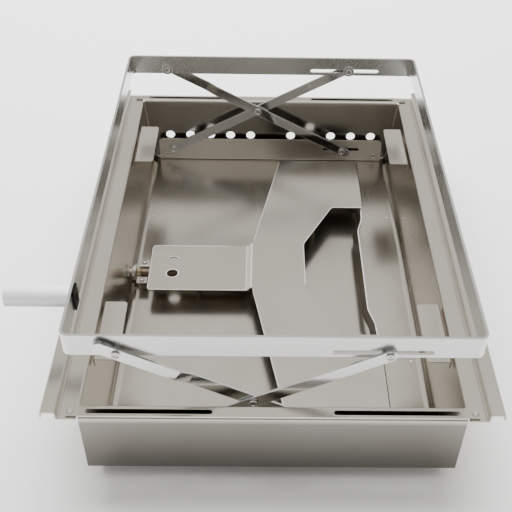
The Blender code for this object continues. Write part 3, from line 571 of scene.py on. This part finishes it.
def bright_rims():
    """Rims of the lighting hole, the slit and the branch's edge, in a pale half-metal that paints a highlight
    on them, and plain sheet rims round the four flange slots.
    """
    hole = Vector((-133.7 * MM, -13 * MM, branch_top()))
    turns = [math.pi * k / 20 for k in range(41)]
    ring = [hole + Vector((8.3 * MM * math.cos(t), 8.3 * MM * math.sin(t), 0)) for t in turns]
    swept("lighting_hole_rim", ring, 0.7 * MM, painted_highlight_edge, "tray")
    slit = Vector((*SLIT, branch_top()))
    brow = [slit + Vector((8.1 * MM * math.cos(t), 8.1 * MM * math.sin(t), 0)) for t in turns[2:19]]
    swept("slit_rim", brow, 0.5 * MM, painted_highlight_edge, "tray")
    left, half_wide, corner = -164.6 * MM, 44.1 * MM, 5 * MM
    bend = [math.pi / 2 * k / 6 for k in range(7)]
    edge = [(-30 * MM, -half_wide)]
    edge += [(left + corner - corner * math.sin(t), -half_wide + corner - corner * math.cos(t)) for t in bend]
    edge += [(left + corner - corner * math.cos(t), half_wide - corner + corner * math.sin(t)) for t in bend]
    edge.append((-60 * MM, half_wide))
    swept("branch_rim", [(x, y, hole.z - 0.4 * MM) for x, y in edge], 0.5 * MM, painted_highlight_edge, "tray")
    reach, near, half = 193 * MM, 62 * MM, 3.35 * MM
    for word, end in (("front", 0), ("rear", 1)):
        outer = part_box(word + "_end_panel")[end].y
        middle = outer - math.copysign(8.75 * MM, outer)
        for side_word, side in (("left", -1), ("right", 1)):
            loop = []
            for start, spot in ((-math.pi / 2, reach - half), (math.pi / 2, near + half)):
                loop += [(side * (spot + half * math.cos(start + math.pi * k / 8)),
                          middle + half * math.sin(start + math.pi * k / 8), rim_top) for k in range(9)]
            name = word + "_" + side_word + "_slot_rim"
            swept(name, loop + loop[:1], 0.45 * MM, sheet_steel, "tray")


def burner_ports():
    """Rows of thin black discs along the burner's arms, on the sides that face each other: painted shade
    standing for small drilled ports.
    """
    low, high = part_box("burner_body")
    shape = bmesh.new()
    for side in (-1, 1):
        face = side * (high.y - 30 * MM)
        for k in range(9):
            spot = Matrix.Translation((high.x - (8 + 7 * k) * MM, face, low.z + 9.5 * MM))
            lay = spot @ Matrix.Rotation(math.pi / 2, 4, "X")
            bmesh.ops.create_cone(shape, cap_ends=True, segments=16, radius1=1.3 * MM, radius2=1.3 * MM,
                                  depth=0.4 * MM, matrix=lay)
    mesh = bpy.data.meshes.new("burner_ports")
    shape.to_mesh(mesh)
    shape.free()
    add_piece("burner_ports", mesh, black_steel, "tray")


def turned_corners(points, radius, steps=6):
    """An open line of points with its inner corners rounded."""
    line = [Vector(points[0])]
    for before, corner, after in zip(points, points[1:], points[2:]):
        corner = Vector(corner)
        start = corner + (Vector(before) - corner).normalized() * radius
        end = corner + (Vector(after) - corner).normalized() * radius
        for k in range(steps + 1):
            t = k / steps
            line.append(start * (1 - t) ** 2 + corner * 2 * t * (1 - t) + end * t ** 2)
    return line + [Vector(points[-1])]


def shield_edge():
    """Rims round the shield's notch and left sides in a pale half-metal that paints a highlight on them, and
    a thin black bead along its right side that paints the shade line at the sheared edge.
    """
    low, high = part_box("burner_shield")
    level = high.z - 0.45 * MM
    notch = [(134.5, 127.8), (89.2, 128), (45, 45), (45, -38)]
    notch = [(x * MM + 0.35 * MM, y * MM, level) for x, y in notch]
    swept("shield_notch_rim", turned_corners(notch, 4 * MM), 0.5 * MM, painted_highlight_edge, "tray")
    for word, side in (("front", -1), ("rear", 1)):
        run = [(-24.6, 52), (13.1, 241)]
        path = [(x * MM + 0.8 * MM, side * y * MM, level) for x, y in run]
        swept(word + "_shield_rim", path, 0.5 * MM, painted_highlight_edge, "tray")
    # painted shade: a black bead along the right edge stands for the dark line at the sheared edge
    for word, side in (("front", -1), ("rear", 1)):
        ends = (high.y - 3 * MM, 130 * MM)
        path = [(high.x - 0.35 * MM, side * y, high.z - 0.35 * MM) for y in ends]
        swept(word + "_shield_edge", path, 0.6 * MM, black_steel, "tray")


def strip_hem():
    """Rolled hem along the ridge of the crossover strip, in a pale half-metal that paints a highlight on it.
    """
    low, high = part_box("crossover_strip")
    reach = high.y
    ridge = high.z - 0.8 * MM
    stations = [(1.0, 15.4), (0.746, 15.4), (0.612, 14.4), (0.466, 7.4)]
    side = [(low.x + dx * MM, reach * share * 0.995) for share, dx in stations]
    route = side + [(x, -y) for x, y in reversed(side)]
    swept("crossover_hem", [(x, y, ridge) for x, y in route], 0.7 * MM, painted_highlight_edge, "tray")


# ---------------------------------------------------------------- studio
def area_light(name, place, aim, size, power):
    lamp = bpy.data.lights.new(name, "AREA")
    lamp.shape = "RECTANGLE"
    lamp.size, lamp.size_y = size
    lamp.energy = power
    obj = bpy.data.objects.new(name, lamp)
    obj.location = place
    obj.rotation_euler = (Vector(aim) - Vector(place)).to_track_quat("-Z", "Y").to_euler()
    bpy.context.scene.collection.objects.link(obj)


def sky(world):
    """Studio surround: bright behind the object, overhead and near the horizon, dim high in front."""
    tree = world.node_tree
    coords = tree.nodes.new("ShaderNodeTexCoord").outputs["Generated"]
    axes = tree.nodes.new("ShaderNodeSeparateXYZ")
    tree.links.new(coords, axes.inputs[0])
    background = tree.nodes["Background"]

    def fade(axis, start, stop, before, after):
        node = tree.nodes.new("ShaderNodeMapRange")
        node.interpolation_type = "SMOOTHSTEP"
        for key, value in zip(("From Min", "From Max", "To Min", "To Max"), (start, stop, before, after)):
            node.inputs[key].default_value = value
        tree.links.new(axes.outputs[axis], node.inputs["Value"])
        return node

    depth = fade("Y", -0.5, 0.6, 0.3, 0.95)
    horizon = fade("Z", 0.36, 0.6, 0.72, 0.0)
    overhead = fade("Z", 0.82, 0.96, 0.0, 1.6)
    wide = tree.nodes.new("ShaderNodeMath")
    wide.operation = "MAXIMUM"
    tree.links.new(depth.outputs[0], wide.inputs[0])
    tree.links.new(horizon.outputs[0], wide.inputs[1])
    total = tree.nodes.new("ShaderNodeMath")
    total.operation = "ADD"
    tree.links.new(wide.outputs[0], total.inputs[0])
    tree.links.new(overhead.outputs[0], total.inputs[1])
    background.inputs[0].default_value = (1.0, 0.985, 0.95, 1)
    tree.links.new(total.outputs[0], background.inputs[1])


def studio():
    scene = bpy.context.scene
    shape = bmesh.new()
    bmesh.ops.create_grid(shape, size=6)
    mesh = bpy.data.meshes.new("studio_floor")
    shape.to_mesh(mesh)
    shape.free()
    floor = bpy.data.objects.new("studio_floor", mesh)
    floor.location.z = cad_box[0].z - 0.2 * MM
    scene.collection.objects.link(floor)
    paint = Nodes("studio_floor")
    paint.set(Base_Color=(0.95, 0.95, 0.95, 1), Roughness=0.9)
    mesh.materials.append(paint.mat)
    world = bpy.data.worlds.new("studio")
    world.use_nodes = True
    sky(world)
    scene.world = world
    area_light("back_softbox", (-0.2, 1.3, 2.1), (0, 0, 0), (3.0, 2.0), 190)
    for lamp in bpy.data.objects:
        if lamp.type == "LIGHT":
            lamp.visible_glossy = False  # the sky alone makes the reflections


def camera():
    """The photograph's viewpoint, measured from the tray's rim."""
    rim = 104.5 * MM
    data = bpy.data.cameras.new("camera")
    data.lens = 58.26
    data.sensor_width = 36
    data.shift_x = -0.0285
    obj = bpy.data.objects.new("camera", data)
    pitch, yaw, roll = 0.727, -0.017, 0.021
    turn = Matrix.Rotation(yaw, 4, "Z") @ Matrix.Rotation(math.pi / 2 - pitch, 4, "X")
    turn = turn @ Matrix.Rotation(roll, 4, "Z")
    obj.matrix_world = Matrix.Translation((-15.2 * MM, -835.2 * MM, 686.1 * MM + rim)) @ turn
    bpy.context.scene.collection.objects.link(obj)
    bpy.context.scene.camera = obj


linkage_rivets()
plain_rivets()
handle()
gas_line()
saddle_screws()
posts()
corner_beads()
pressed_tab()
bright_rims()
burner_ports()
shield_edge()
strip_hem()
carry_over()
studio()
camera()
